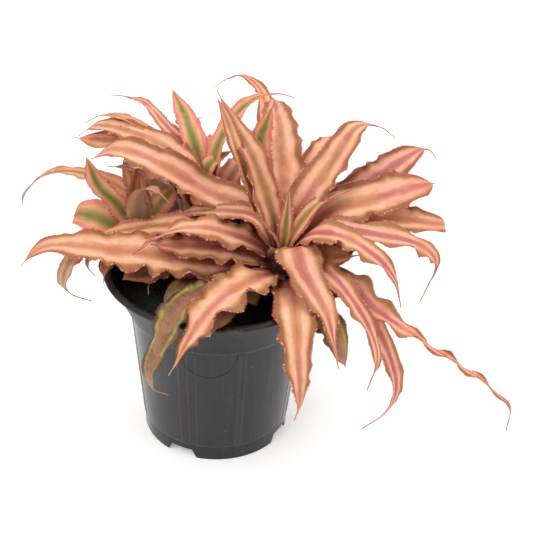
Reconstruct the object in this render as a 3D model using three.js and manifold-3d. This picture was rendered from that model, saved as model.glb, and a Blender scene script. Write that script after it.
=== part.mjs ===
// A pink earth star in its nursery pot: three rosettes of waved leaves in dark soil.
// Millimetres, +Z up. Every place below is measured from the middle of the pot's foot;
// the whole group is moved at the end, so that its origin is the middle of its own base.
import * as THREE from 'three';
import { mergeVertices } from 'three/addons/utils/BufferGeometryUtils.js';
import Module from 'manifold-3d';

const wasm = await Module();
wasm.setup();

// Driving dimensions of the pot
const potHeight = 99;
const rimRadius = 60;
const lipWidth = 4.2;
const lipThickness = 2;
const lipRounding = 0.7;
const wallThickness = 1.2;
const collarTopRadius = 57;
const collarHeight = 24;
const collarStep = 0.6;
const bodyTopRadius = 46.4;
const bodyBottomRadius = 40.2;
const footRadius = 39.4;
const footHeight = 8.8;
const footWallThickness = 1.6;
const floorHeight = 5.6;
const potSides = 36;
const cutterMargin = 1;

// The foot ring stands on four feet, with a tapered notch between them
const notchCount = 4;
const notchTurn = -24.6;
const notchHeight = 5;
const notchWidthBelow = 18;
const notchWidthAbove = 12;
const drainCount = 4;
const drainRadius = 4;
const drainRing = 24;
const drainSides = 12;

// Soil and stems
const soilHeight = 86;
const soilDome = 2;
const soilGap = 0.4;
const stemDepth = 80;
const stemSides = 12;
const stemGap = 0.4;

// Leaves
const bladeThickness = 1;
const bladeStep = 10;
const leastSteps = 6;
const stepsPerWave = 4;
const tipWidth = 1.2;
const rootShare = 0.4;
const swellShare = 0.4;
const tailShare = 0.16;
const channelShare = 0.18;
const marginLag = 0.9;

const colours = {
  pot: 0x46464a,
  soil: 0x1d1614,
  main: 0xe59a74,
  left: 0xb99a5c,
  back: 0xd99a6c,
};

// Rosettes: the stem's place and radii, and one row for each leaf. A row holds the blade's width,
// how full its outline is, the share of it that is a thin tail, how many waves run along it,
// how high they are, the roll of the blade in degrees, and the points of its midrib.
const mainRosette = {
  stem: { x: 33, y: 0, stemRadius: 8, crownRadius: 12, top: 111 },
  leaves: [
    [18, 4, 0.04, 2, 1, 0, [[32, 2, 104], [26, 8, 127], [16, 17, 152], [5, 26, 168], [-4, 34, 182]]],
    [12, 9, 0.01, 2, 1, 0, [[31, 3, 104], [22, 8, 125], [11, 11, 149], [4, 16, 168], [-3, 20, 184]]],
    [24, 3.4, 0.05, 3, 1.2, 0,
      [[33, 3, 104], [32, 20, 136], [29, 40, 157], [26, 62, 162], [25, 84, 157]]],
    [11, 4, 0.05, 2, 0.6, 0,
      [[30, 5, 102], [21, 18, 133], [19, 27, 156], [22, 29, 168], [26, 34, 178]]],
    [14, 4, 0.17, 3, 1.6, 0,
      [[30, 6, 102], [25, 38, 130], [22, 68, 149], [18, 88, 158], [8, 96, 164], [-1, 96, 162],
       [-8, 92, 158]]],
    [13, 2.4, 0.05, 2, 0.5, 5, [[34, 0, 106], [40, 0, 123], [52, 6, 136], [69, 14, 140]]],
    [9, 2.4, 0.05, 1, 0.2, 0, [[33, 0, 106], [34, 3, 122], [35, 8, 142]]],
    [8, 2.4, 0.05, 1, 0.2, 0, [[33, -1, 106], [29, -2, 117], [24, -2, 124]]],
    [22, 5, 0.22, 3, 0.8, 0,
      [[35, 2, 104], [42, 9, 130], [56, 22, 148], [68, 37, 162], [82, 49, 158], [92, 61, 146]]],
    [21, 4, 0.05, 3, 1, 0, [[34, 5, 100], [39, 16, 125], [48, 32, 141], [56, 49, 148], [64, 68, 144]]],
    [20, 8, 0.1, 4, 1.2, 15,
      [[36, 4, 100], [54, 16, 124], [76, 26, 136], [96, 42, 143], [108, 52, 145], [115, 54, 138]]],
    [26, 12, 0.02, 4, 1.2, 18,
      [[36, 2, 102], [54, 8, 124], [78, 18, 130], [102, 25, 137], [112, 30, 137]]],
    [20, 14, 0.02, 3, 1.2, 12,
      [[37, 1, 98], [61, 5, 122], [90, 9, 124], [110, 10, 123], [116, 12, 121], [117, 13, 116]]],
    [20, 6, 0.27, 4, 1.6, 12,
      [[37, -1, 101], [58, -6, 126], [88, -10, 125], [104, -10, 120], [111, -9, 108], [105, -11, 88]]],
    [17, 3, 0.2, 3, 1.6, 12,
      [[35, -1, 106], [47, -7, 123], [65, -17, 127], [80, -25, 121], [89, -30, 112], [93, -31, 97]]],
    [20, 7, 0.1, 2, 1.6, 15, [[37, -1, 96], [48, -8, 110], [60, -13, 114], [72, -13, 116]]],
    [19, 3.4, 0.15, 3, 1.2, 0,
      [[35, -2, 104], [40, -14, 121], [47, -30, 114], [55, -47, 105], [59, -56, 92], [62, -61, 80]]],
    [24, 2.2, 0.05, 4, 1.6, 0,
      [[34, -4, 95], [38, -26, 103], [40, -50, 102], [42, -62, 87], [44, -66, 62], [43, -66, 49]]],
    [25, 3.2, 0.1, 5, 2.2, 0,
      [[32, -4, 97], [22, -23, 107], [6, -46, 110], [-6, -62, 104], [-14, -68, 90], [-20, -68, 74]]],
    [15, 3, 0.05, 3, 1, 0, [[31, -4, 93], [21, -22, 100], [9, -44, 104], [1, -62, 101], [-3, -70, 90]]],
    [16, 6, 0.1, 3, 1.4, 0,
      [[28, -4, 92], [6, -22, 98], [-13, -42, 104], [-22, -63, 98], [-29, -64, 78], [-29, -60, 63],
       [-21, -59, 58]]],
    [16, 4, 0.05, 2, 1, 0,
      [[28, -4, 90], [2, -13, 95], [-18, -19, 97], [-25, -25, 93], [-24, -31, 89]]],
    [20, 14, 0.01, 3, 1.2, 0,
      [[27, -1, 94], [0, -6, 100], [-24, -9, 100], [-39, -16, 100], [-47, -23, 102]]],
    [18, 7, 0.1, 5, 1.6, 3,
      [[37, -4, 98], [53, -22, 112], [68, -38, 105], [79, -50, 90], [81, -52, 76], [78, -51, 60]]],
    [22, 3.6, 0.45, 8, 2.4, 3,
      [[38, -4, 98], [63, -21, 104], [80, -32, 96], [106, -46, 86], [131, -62, 78], [145, -70, 68],
       [146, -70, 53]]],
    [14, 4, 0.1, 3, 1, 0,
      [[37, -5, 93], [60, -20, 103], [80, -33, 88], [92, -44, 64], [90, -48, 46], [78, -46, 31]]],
    [18, 10, 0.01, 3, 1.4, 0,
      [[36, -6, 91], [48, -30, 102], [56, -46, 98], [62, -53, 87], [66, -54, 76]]],
    [14, 2.6, 0.1, 3, 1.4, 0, [[38, -3, 93], [55, -20, 104], [68, -32, 101], [76, -36, 94]]],
    [8, 4, 0.3, 3, 1, 0,
      [[28, -3, 95], [-6, -6, 100], [-28, -13, 100], [-34, -19, 98], [-34, -24, 94]]],
    [24, 3.8, 0.02, 6, 1.6, -25,
      [[28, -2, 98], [6, -6, 103], [-22, -10, 108], [-52, -15, 114], [-77, -20, 119],
       [-90, -22, 116], [-98, -22, 107]]],
    [21, 5, 0.2, 4, 1.8, -20,
      [[29, -1, 104], [11, -4, 119], [-12, -6, 128], [-34, -10, 121], [-45, -13, 109]]],
    [18, 6, 0.03, 4, 1.4, -15,
      [[29, 1, 101], [4, -1, 117], [-22, 0, 121], [-50, 0, 120], [-67, 1, 115]]],
    [20, 6, 0.03, 6, 2.2, -15,
      [[28, -1, 101], [8, -5, 111], [-14, -7, 114], [-34, -10, 116], [-56, -12, 115]]],
    [15, 6, 0.04, 3, 1, -15, [[30, 0, 107], [20, 1, 124], [4, 5, 129], [-14, 10, 126], [-32, 15, 118]]],
    [22, 8, 0.02, 4, 1.2, -12,
      [[29, 4, 98], [16, 13, 123], [-8, 20, 131], [-35, 22, 146], [-56, 32, 147], [-71, 41, 136]]],
    [22, 3, 0.05, 3, 1.6, 0, [[37, 3, 97], [60, 18, 110], [90, 40, 110], [112, 56, 96]]],
    [22, 3, 0.05, 3, 1.6, 0, [[36, 5, 93], [54, 34, 112], [74, 66, 112], [86, 86, 94]]],
    [22, 3, 0.05, 3, 1.6, 0, [[33, 5, 97], [34, 38, 120], [36, 76, 120], [38, 100, 100]]],
    [20, 3, 0.05, 2, 1.6, 0, [[37, 1, 92], [59, 8, 104], [80, 21, 105], [96, 34, 101]]],
  ],
};

const leftRosette = {
  stem: { x: -38, y: 15, stemRadius: 4.5, crownRadius: 7, top: 108 },
  leaves: [
    [12, 6, 0.01, 2, 0.8, -5, [[-40, 16, 100], [-54, 22, 118], [-66, 31, 125], [-74, 44, 136]]],
    [19, 14, 0.02, 2, 0.8, -25,
      [[-40, 14, 100], [-54, 14, 110], [-66, 16, 115], [-74, 17, 116], [-78, 20, 113]]],
    [12, 6, 0.03, 3, 1, 0,
      [[-39, 16, 99], [-46, 34, 113], [-60, 45, 119], [-82, 52, 122], [-99, 54, 118],
       [-110, 53, 108], [-113, 54, 98]]],
    [7, 4, 0.05, 1, 0.3, 0, [[-40, 15, 100], [-46, 17, 124], [-44, 18, 145]]],
    [17, 6, 0.05, 2, 0.6, 50, [[-42, 16, 102], [-40, 26, 112], [-34, 36, 114], [-27, 49, 116]]],
    [10, 2.4, 0.1, 2, 0.8, 0, [[-37, 14, 102], [-39, 12, 124], [-35, 6, 135], [-28, 0, 130]]],
    [12, 5, 0.05, 2, 0.8, 0, [[-37, 17, 102], [-40, 22, 126], [-46, 22, 139], [-58, 16, 146]]],
    [12, 5, 0.1, 3, 0.8, 0, [[-39, 17, 97], [-47, 40, 113], [-58, 64, 111], [-65, 80, 98]]],
    [12, 5, 0.1, 3, 0.8, 0, [[-40, 16, 96], [-58, 24, 104], [-74, 36, 104], [-81, 46, 96]]],
    [11, 7, 0.08, 3, 0.8, 0,
      [[-40, 14, 98], [-58, -4, 110], [-72, -16, 110], [-78, -16, 96], [-76, -11, 84], [-66, -8, 78]]],
    [5, 4, 0.03, 2, 0.5, 0,
      [[-40, 13, 95], [-55, -4, 104], [-64, -12, 108], [-66, -15, 104], [-62, -15, 98]]],
    [11, 6, 0.1, 2, 0.5, 0, [[-37, 11, 95], [-48, -6, 104], [-56, -16, 106], [-56, -28, 102]]],
  ],
};

const backRosette = {
  stem: { x: -10, y: 37, stemRadius: 6, crownRadius: 8, top: 118 },
  leaves: [
    [17, 7, 0.02, 3, 1, -10,
      [[-12, 37, 104], [-15, 38, 130], [-28, 46, 140], [-50, 60, 143], [-72, 74, 140],
       [-84, 80, 130]]],
    [9, 5, 0.05, 3, 0.8, 0,
      [[-12, 38, 102], [-22, 52, 132], [-37, 62, 141], [-56, 73, 145], [-69, 80, 144],
       [-80, 84, 137]]],
    [9, 4, 0.1, 3, 1, 0,
      [[-12, 39, 104], [-18, 50, 136], [-31, 64, 144], [-44, 80, 150], [-56, 96, 148],
       [-69, 107, 144]]],
    [14, 4.5, 0.01, 2, 0.5, 0, [[-10, 38, 104], [-15, 49, 137], [-22, 67, 149], [-32, 92, 156]]],
    [8, 4, 0.1, 2, 0.5, 0, [[-9, 38, 104], [-12, 50, 134], [-19, 68, 146], [-14, 83, 144]]],
    [16, 2.4, 0.2, 3, 1, 0,
      [[-8, 38, 104], [-5, 45, 137], [2, 56, 153], [14, 63, 164], [26, 62, 169], [36, 60, 168]]],
    [13, 5, 0.1, 2, 0.5, 0, [[-9, 36, 106], [-9, 41, 131], [-3, 45, 138], [8, 50, 142]]],
    [18, 9, 0.03, 3, 1, -10,
      [[-12, 36, 104], [-22, 40, 130], [-47, 55, 140], [-67, 64, 136], [-85, 72, 133]]],
    [16, 2.8, 0.05, 3, 1.2, 0, [[-10, 38, 100], [-12, 58, 128], [-14, 84, 130], [-16, 104, 116]]],
    [16, 5, 0.05, 3, 1.2, 0, [[-11, 36, 100], [-24, 52, 108], [-36, 62, 110], [-44, 62, 102]]],
    [16, 2.8, 0.05, 3, 1.2, 0, [[-9, 38, 100], [6, 58, 124], [22, 84, 124], [32, 102, 110]]],
  ],
};

// A closed mesh as a solid for joining and cutting, and back again
function toSolid(geometry) {
  const bare = geometry.clone();
  bare.deleteAttribute('normal');
  bare.deleteAttribute('uv');
  const merged = mergeVertices(bare, 1e-4);
  const mesh = new wasm.Mesh({
    numProp: 3,
    vertProperties: new Float32Array(merged.attributes.position.array),
    triVerts: new Uint32Array(merged.index.array),
  });
  return new wasm.Manifold(mesh);
}

function toGeometry(solid) {
  const mesh = solid.getMesh();
  const geometry = new THREE.BufferGeometry();
  geometry.setAttribute('position', new THREE.BufferAttribute(mesh.vertProperties, 3));
  geometry.setIndex(new THREE.BufferAttribute(mesh.triVerts, 1));
  geometry.computeVertexNormals();
  return geometry;
}

function smooth(x) {
  const t = Math.min(Math.max(x, 0), 1);
  return t * t * (3 - 2 * t);
}

// A turned piece about the pot's axis: its outline is a list of [radius, height]
function turned(outline, sides) {
  const points = outline.map(([radius, height]) => new THREE.Vector2(radius, height));
  const geometry = new THREE.LatheGeometry(points, sides);
  return geometry.rotateX(Math.PI / 2);
}

function potOutline() {
  const collarBottom = potHeight - collarHeight;
  const lipBottom = potHeight - lipThickness;
  const lipInner = rimRadius - lipWidth;
  return [
    [footRadius - footWallThickness, 0],
    [footRadius, 0],
    [footRadius, footHeight],
    [bodyBottomRadius, footHeight + collarStep],
    [bodyTopRadius, collarBottom - collarStep],
    [bodyTopRadius + collarStep, collarBottom],
    [collarTopRadius, lipBottom],
    [rimRadius, lipBottom],
    [rimRadius, potHeight - lipRounding],
    [rimRadius - lipRounding, potHeight],
    [lipInner, potHeight],
    [lipInner - lipRounding, lipBottom - lipRounding],
    [bodyTopRadius + collarStep - wallThickness, collarBottom],
    [bodyBottomRadius - wallThickness, footHeight + collarStep],
    [footRadius - footWallThickness, footHeight],
    [footRadius - footWallThickness, floorHeight + wallThickness],
    [0, floorHeight + wallThickness],
    [0, floorHeight],
    [footRadius - footWallThickness, floorHeight],
    [footRadius - footWallThickness, 0],
  ];
}

function footNotch(turn) {
  const shape = new THREE.Shape();
  shape.moveTo(-notchWidthBelow / 2, -cutterMargin);
  shape.lineTo(notchWidthBelow / 2, -cutterMargin);
  shape.lineTo(notchWidthAbove / 2, notchHeight);
  shape.lineTo(-notchWidthAbove / 2, notchHeight);
  shape.closePath();
  const cutter = new THREE.ExtrudeGeometry(shape, { depth: footRadius, bevelEnabled: false });
  cutter.rotateX(Math.PI / 2);
  cutter.translate(0, -drainRing - drainRadius, 0);
  cutter.rotateZ(THREE.MathUtils.degToRad(turn + 90));
  return toSolid(cutter);
}

function drainHole(turn) {
  const depth = wallThickness + 2 * cutterMargin;
  const cutter = new THREE.CylinderGeometry(drainRadius, drainRadius, depth, drainSides);
  cutter.rotateX(Math.PI / 2);
  cutter.translate(drainRing, 0, floorHeight + wallThickness / 2);
  cutter.rotateZ(THREE.MathUtils.degToRad(turn));
  return toSolid(cutter);
}

function makePot() {
  let solid = toSolid(turned(potOutline(), potSides));
  for (let i = 0; i < notchCount; i += 1) {
    const turn = notchTurn + (360 / notchCount) * i;
    solid = solid.subtract(footNotch(turn));
  }
  for (let i = 0; i < drainCount; i += 1) {
    solid = solid.subtract(drainHole((360 / drainCount) * i));
  }
  return toGeometry(solid);
}

// The soil fills the pot to a little under its lip, with a plain hole for each stem
function makeSoil(stems) {
  const inner = wallThickness + 2 * soilGap;
  const collarBottom = potHeight - collarHeight;
  const collarFootRadius = bodyTopRadius + collarStep;
  const collarSlope = (collarTopRadius - collarFootRadius) / (collarHeight - lipThickness);
  const soilRadius = collarFootRadius + collarSlope * (soilHeight - collarBottom) - inner;
  const footInner = footRadius - footWallThickness - soilGap;
  const floorTop = floorHeight + wallThickness + soilGap;
  const outline = [
    [0, floorTop],
    [footInner, floorTop],
    [footInner, footHeight + collarStep],
    [bodyTopRadius - inner, collarBottom - collarStep],
    [soilRadius, soilHeight],
    [soilRadius * 0.6, soilHeight + soilDome * 0.7],
    [0, soilHeight + soilDome],
  ];
  let solid = toSolid(turned(outline, potSides));
  for (const stem of stems) {
    const holeHeight = soilHeight + 2 * soilDome - stemDepth + stemGap;
    const holeRadius = stem.stemRadius + stemGap;
    const hole = new THREE.CylinderGeometry(holeRadius, holeRadius, holeHeight, stemSides);
    hole.rotateX(Math.PI / 2);
    hole.translate(stem.x, stem.y, stemDepth - stemGap + holeHeight / 2);
    solid = solid.subtract(toSolid(hole));
  }
  return toGeometry(solid);
}

// Half of the blade's width at a share u of its length
function halfWidth(width, full, tail, u) {
  const onBlade = Math.min(u / (1 - tail), 1);
  const swell = rootShare + (1 - rootShare) * smooth(onBlade / swellShare);
  const blade = swell * (1 - onBlade ** full);
  const thinTail = tailShare * (1 - u ** 3);
  return Math.max((width / 2) * Math.max(blade, thinTail), tipWidth / 2);
}

// A leaf blade: three points across each station, the same triangles on both faces,
// its two margins waved up and down in turn and lifted a little into a channel
function makeBlade([width, full, tail, waves, waveHeight, roll, way]) {
  const points = way.map((place) => new THREE.Vector3(...place));
  const curve = new THREE.CatmullRomCurve3(points, false, 'catmullrom', 0.5);
  const steps = Math.max(leastSteps, Math.round(curve.getLength() / bladeStep), stepsPerWave * waves);
  const first = curve.getPoint(0);
  const last = curve.getPoint(1);
  const sideways = new THREE.Vector3(first.y - last.y, last.x - first.x, 0).normalize();
  const turn = THREE.MathUtils.degToRad(roll);
  const positions = [];
  for (let i = 0; i <= steps; i += 1) {
    const u = i / steps;
    const centre = curve.getPointAt(u);
    const along = curve.getTangentAt(u);
    const across = sideways.clone().addScaledVector(along, -along.dot(sideways)).normalize();
    const upward = along.clone().cross(across);
    const side = across.clone().multiplyScalar(Math.cos(turn)).addScaledVector(upward, Math.sin(turn));
    const normal = along.clone().cross(side);
    const half = halfWidth(width, full, tail, u);
    const fade = Math.min(1, u * 5, (1 - u) * 4);
    for (const face of [1, -1]) {
      for (const share of [-1, 0, 1]) {
        const lag = share > 0 ? marginLag : 0;
        const wave = share * share * waveHeight * fade * Math.sin(2 * Math.PI * waves * u + lag);
        const channel = channelShare * half * share * share;
        const lift = wave + channel + (face * bladeThickness) / 2;
        const point = centre.clone().addScaledVector(side, half * share).addScaledVector(normal, lift);
        positions.push(point.x, point.y, point.z);
      }
    }
  }
  return bladeSolid(positions, steps);
}

// Each station has six points: left, middle and right of the upper face, then of the lower one
function bladeSolid(positions, steps) {
  const upper = [0, 1, 2];
  const lower = [3, 4, 5];
  const index = [];
  const quad = (a, b, c, d) => index.push(a, b, c, a, c, d);
  for (let i = 0; i < steps; i += 1) {
    const here = 6 * i;
    const next = here + 6;
    for (const k of [0, 1]) {
      quad(here + upper[k], next + upper[k], next + upper[k + 1], here + upper[k + 1]);
      index.push(here + lower[k], next + lower[k + 1], next + lower[k]);
      index.push(here + lower[k], here + lower[k + 1], next + lower[k + 1]);
    }
    quad(here + upper[2], next + upper[2], next + lower[2], here + lower[2]);
    quad(here + lower[0], next + lower[0], next + upper[0], here + upper[0]);
  }
  const end = 6 * steps;
  for (const k of [0, 1]) {
    quad(upper[k], upper[k + 1], lower[k + 1], lower[k]);
    quad(end + upper[k + 1], end + upper[k], end + lower[k], end + lower[k + 1]);
  }
  const mesh = new wasm.Mesh({
    numProp: 3,
    vertProperties: new Float32Array(positions),
    triVerts: new Uint32Array(index),
  });
  return new wasm.Manifold(mesh);
}

// The short stem stands in the soil and swells into the crown that the leaves sit round
function makeStem({ x, y, stemRadius, crownRadius, top }) {
  const crownHeight = 1.1 * crownRadius;
  const outline = [
    [0, stemDepth],
    [stemRadius, stemDepth],
    [stemRadius, soilHeight + soilDome + 1],
    [crownRadius, top - crownHeight],
    [crownRadius, top - 0.4 * crownHeight],
    [0.6 * crownRadius, top],
    [0, top + 0.1 * crownHeight],
  ];
  return toSolid(turned(outline, stemSides).translate(x, y, 0));
}

// All leaves of a rosette grow from its stem. Fusing them can shut in a small hollow among
// their roots; keeping the outer skin alone fills it.
function makeRosette({ stem, leaves }) {
  let solid = makeStem(stem);
  for (const leaf of leaves) {
    solid = solid.add(makeBlade(leaf));
  }
  const skins = solid.decompose();
  skins.sort((a, b) => b.volume() - a.volume());
  return toGeometry(skins[0]);
}

function addMesh(group, name, geometry, colour, roughness) {
  const material = new THREE.MeshStandardMaterial({ color: colour, roughness, metalness: 0 });
  const mesh = new THREE.Mesh(geometry, material);
  mesh.name = name;
  group.add(mesh);
}

const stems = [mainRosette.stem, leftRosette.stem, backRosette.stem];
const plant = new THREE.Group();
addMesh(plant, 'pot', makePot(), colours.pot, 0.45);
addMesh(plant, 'soil', makeSoil(stems), colours.soil, 0.95);
addMesh(plant, 'rosette_main', makeRosette(mainRosette), colours.main, 0.55);
addMesh(plant, 'rosette_left', makeRosette(leftRosette), colours.left, 0.55);
addMesh(plant, 'rosette_back', makeRosette(backRosette), colours.back, 0.55);

const box = new THREE.Box3().setFromObject(plant);
plant.position.set(-(box.min.x + box.max.x) / 2, -(box.min.y + box.max.y) / 2, -box.min.z);

export default plant;
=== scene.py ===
import math

import bpy
import numpy as np
from mathutils import Matrix, Vector
from mathutils.noise import fractal


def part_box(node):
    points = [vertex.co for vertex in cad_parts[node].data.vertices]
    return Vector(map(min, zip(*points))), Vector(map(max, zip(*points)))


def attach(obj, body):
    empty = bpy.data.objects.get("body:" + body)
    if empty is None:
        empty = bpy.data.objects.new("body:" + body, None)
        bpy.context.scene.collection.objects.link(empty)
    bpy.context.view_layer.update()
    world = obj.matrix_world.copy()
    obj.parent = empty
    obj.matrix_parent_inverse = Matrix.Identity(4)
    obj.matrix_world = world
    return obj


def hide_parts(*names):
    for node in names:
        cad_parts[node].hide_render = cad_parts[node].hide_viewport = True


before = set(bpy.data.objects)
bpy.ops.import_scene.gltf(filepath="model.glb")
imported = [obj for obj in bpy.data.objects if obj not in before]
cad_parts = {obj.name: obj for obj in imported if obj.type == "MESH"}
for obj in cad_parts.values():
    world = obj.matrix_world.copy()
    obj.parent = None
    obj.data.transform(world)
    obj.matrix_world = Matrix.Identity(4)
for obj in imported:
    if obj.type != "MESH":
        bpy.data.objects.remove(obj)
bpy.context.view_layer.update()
mm = 0.001
fullTurn = 2 * math.pi
potLow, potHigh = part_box("pot")
# the middle of the pot's foot: every place in this script is measured from it, in millimetres
potFoot = Vector(((potLow.x + potHigh.x) / 2, (potLow.y + potHigh.y) / 2, potLow.z))
print("frame loaded")


# Helpers for node trees
class Link:
    # an output of a node, which takes part in sums as a number does
    def __init__(self, socket):
        self.socket = socket
        self.tree = socket.id_data

    def __add__(self, other):
        return calc("ADD", self, other)

    def __sub__(self, other):
        return calc("SUBTRACT", self, other)

    def __rsub__(self, other):
        return calc("SUBTRACT", other, self)

    def __mul__(self, other):
        return calc("MULTIPLY", self, other)

    def __truediv__(self, other):
        return calc("DIVIDE", self, other)

def feed(value, socket):
    # a link is joined to the socket, anything else becomes its plain value
    if isinstance(value, Link):
        value.tree.links.new(value.socket, socket)
    else:
        socket.default_value = value


def shown(sockets):
    # some nodes hold a set of sockets for each kind of data and show one set
    return [socket for socket in sockets if socket.enabled]


def addNode(kind, inputs=(), output=0, tree=None, **settings):
    # a node with its inputs, fed by name or in their order, in the tree of the first link among them;
    # one of its outputs comes back
    values = list(inputs.values() if isinstance(inputs, dict) else inputs)
    tree = tree or next(value.tree for value in values if isinstance(value, Link))
    node = tree.nodes.new(kind)
    for name, value in settings.items():
        setattr(node, name, value)
    sockets = [node.inputs[name] for name in inputs] if isinstance(inputs, dict) else shown(node.inputs)
    for value, socket in zip(values, sockets):
        if value is not None:
            feed(value, socket)
    return Link(node.outputs[output] if isinstance(output, str) else shown(node.outputs)[output])


def calc(operation, *values):
    return addNode("ShaderNodeMath", values, operation=operation)


def vectorCalc(operation, *values):
    return addNode("ShaderNodeVectorMath", values, operation=operation)


def vectorOf(x, y, z):
    return addNode("ShaderNodeCombineXYZ", (x, y, z))


def partOf(vector, axis):
    return addNode("ShaderNodeSeparateXYZ", [vector], axis)


def step(value, low, high, lowResult=0.0, highResult=1.0):
    # a smooth step from one value to another
    inputs = (value, low, high, lowResult, highResult)
    return addNode("ShaderNodeMapRange", inputs, interpolation_type="SMOOTHSTEP")


def noise(spot, scale, detail=3.0, roughness=0.55):
    inputs = {"Vector": spot, "Scale": scale, "Detail": detail, "Roughness": roughness}
    return addNode("ShaderNodeTexNoise", inputs)


def randomValue(low, high, seed, kind="FLOAT"):
    return addNode("FunctionNodeRandomValue", (low, high, None, seed), data_type=kind)


def newGroup(name, kind, inputs, output="Geometry", outputKind="Geometry"):
    # a node group with named inputs and one output
    group = bpy.data.node_groups.new(name, kind + "NodeTree")
    for label, inputKind in inputs.items():
        group.interface.new_socket(label, in_out="INPUT", socket_type="NodeSocket" + inputKind)
    group.interface.new_socket(output, in_out="OUTPUT", socket_type="NodeSocket" + outputKind)
    sockets = group.nodes.new("NodeGroupInput").outputs
    given = {label: Link(sockets[label]) for label in inputs}
    return group, given, group.nodes.new("NodeGroupOutput").inputs[0]


def finishTree(result, material, *parts):
    # the parts of a geometry tree joined, made real and given their material
    join = result.id_data.nodes.new("GeometryNodeJoinGeometry")
    for part in parts:
        feed(part, join.inputs[0])
    real = addNode("GeometryNodeRealizeInstances", [Link(join.outputs[0])])
    feed(addNode("GeometryNodeSetMaterial", {"Geometry": real, "Material": material}), result)


def runTree(tree, source, values, name):
    # the tree's result as a plain mesh in a new object at the origin
    modifier = source.modifiers.new("nodes", "NODES")
    modifier.node_group = tree
    sockets = {item.name: item.identifier for item in tree.interface.items_tree if item.in_out == "INPUT"}
    for label, value in values.items():
        modifier[sockets[label]] = value
    mesh = evaluatedMesh(source)
    source.modifiers.remove(modifier)
    bpy.data.objects.remove(source)
    return newObject(name, mesh)


def evaluatedMesh(thing):
    bpy.context.view_layer.update()
    return bpy.data.meshes.new_from_object(thing.evaluated_get(bpy.context.evaluated_depsgraph_get()))


# Helpers for meshes and pieces
def newObject(name, mesh):
    mesh.name = name
    thing = bpy.data.objects.new(name, mesh)
    bpy.context.scene.collection.objects.link(thing)
    return thing


def meshFrom(name, vertices, faces):
    mesh = bpy.data.meshes.new(name)
    mesh.from_pydata([list(v) for v in vertices], [], [list(f) for f in faces])
    mesh.update()
    return newObject(name, mesh)


def place(points):
    # millimetres from the pot's foot, as metres in the frame
    return np.asarray(points, float) * mm + np.array(potFoot)


def unit(vectors):
    return vectors / np.linalg.norm(vectors, axis=-1, keepdims=True)


def joinPieces(name, things):
    first = things[0]
    with bpy.context.temp_override(active_object=first, object=first,
                                   selected_objects=things, selected_editable_objects=things):
        bpy.ops.object.join()
    first.name = name
    first.data.name = name
    return first


def smoothAndPaint(thing, material, sharp=None):
    thing.data.polygons.foreach_set("use_smooth", [True] * len(thing.data.polygons))
    thing.data.materials.clear()
    thing.data.materials.append(material)
    if sharp is not None:
        thing.data.set_sharp_from_angle(angle=math.radians(sharp))


def finishPiece(piece, slot, *nodes):
    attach(piece, "root")
    if nodes:
        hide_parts(*nodes)


# Helpers for materials
def colour(red, green, blue):
    # 0 to 255 as seen on a screen, to the linear colour that shaders take
    shares = [value / 255 for value in (red, green, blue)]
    linear = [s / 12.92 if s <= 0.04045 else ((s + 0.055) / 1.055) ** 2.4 for s in shares]
    return (*linear, 1.0)


def coloursOf(look):
    return {name: colour(*tint) for name, tint in look["tints"].items()}


def newMaterial(name):
    material = bpy.data.materials.new(name)
    material.use_nodes = True
    return material, material.node_tree, material.node_tree.nodes["Principled BSDF"].inputs


def objectPlace(tree):
    return addNode("ShaderNodeTexCoord", tree=tree, output="Object")


def mixColour(share, first, second, blend="MIX"):
    return addNode("ShaderNodeMix", (share, first, second), data_type="RGBA", blend_type=blend)


def ramp(value, stops):
    node = value.tree.nodes.new("ShaderNodeValToRGB")
    elements = node.color_ramp.elements
    while len(elements) < len(stops):
        elements.new(0.5)
    for element, (position, tint) in zip(elements, stops):
        element.position = position
        element.color = colour(*tint)
    feed(value, node.inputs["Fac"])
    return Link(node.outputs["Color"])


def bump(height, strength, distance):
    return addNode("ShaderNodeBump", {"Strength": strength, "Distance": distance, "Height": height})


# Camera: the photograph's view, from the front and above
cameraLook = {
    "place": (25.0, -529.7, 429.8),
    "pitch": 32.0,
    "roll": 2.4,
    "focal": 1200.0,
    "frameSide": 533.0,
    "sensor": 36.0,
}


def makeCamera():
    data = bpy.data.cameras.new("camera")
    data.sensor_width = cameraLook["sensor"]
    data.lens = cameraLook["sensor"] * cameraLook["focal"] / cameraLook["frameSide"]
    camera = bpy.data.objects.new("camera", data)
    pitch = math.radians(90 - cameraLook["pitch"])
    turn = Matrix.Rotation(pitch, 4, "X") @ Matrix.Rotation(math.radians(cameraLook["roll"]), 4, "Z")
    camera.matrix_world = Matrix.Translation(place(cameraLook["place"])) @ turn
    bpy.context.scene.collection.objects.link(camera)
    bpy.context.scene.camera = camera
    bpy.context.scene.view_settings.view_transform = "Standard"


# Studio: pale floor, white surround and three soft lamps, in metres
studio = {
    "floor": (250, 250, 249),
    "floorReach": 3.0,
    "floorRoughness": 0.9,
    # the floor glows a little though it is no lamp: painted light that keeps the shadows pale
    "floorPaintedLight": 0.3,
    # the surround is darker towards the front: from where to where, and its brightness at both
    "surround": (-0.95, 0.1, 0.28, 0.95),
    "aim": (0, 0, 0.1),
    "lamps": {
        # place, energy in watts and size
        "key": ((-0.7, -0.8, 1.2), 8.5, 0.7),
        "fill": ((1.1, -0.6, 0.7), 3.5, 0.7),
        "top": ((0.1, 0.3, 1.4), 7.0, 1.0),
    },
}


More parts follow.
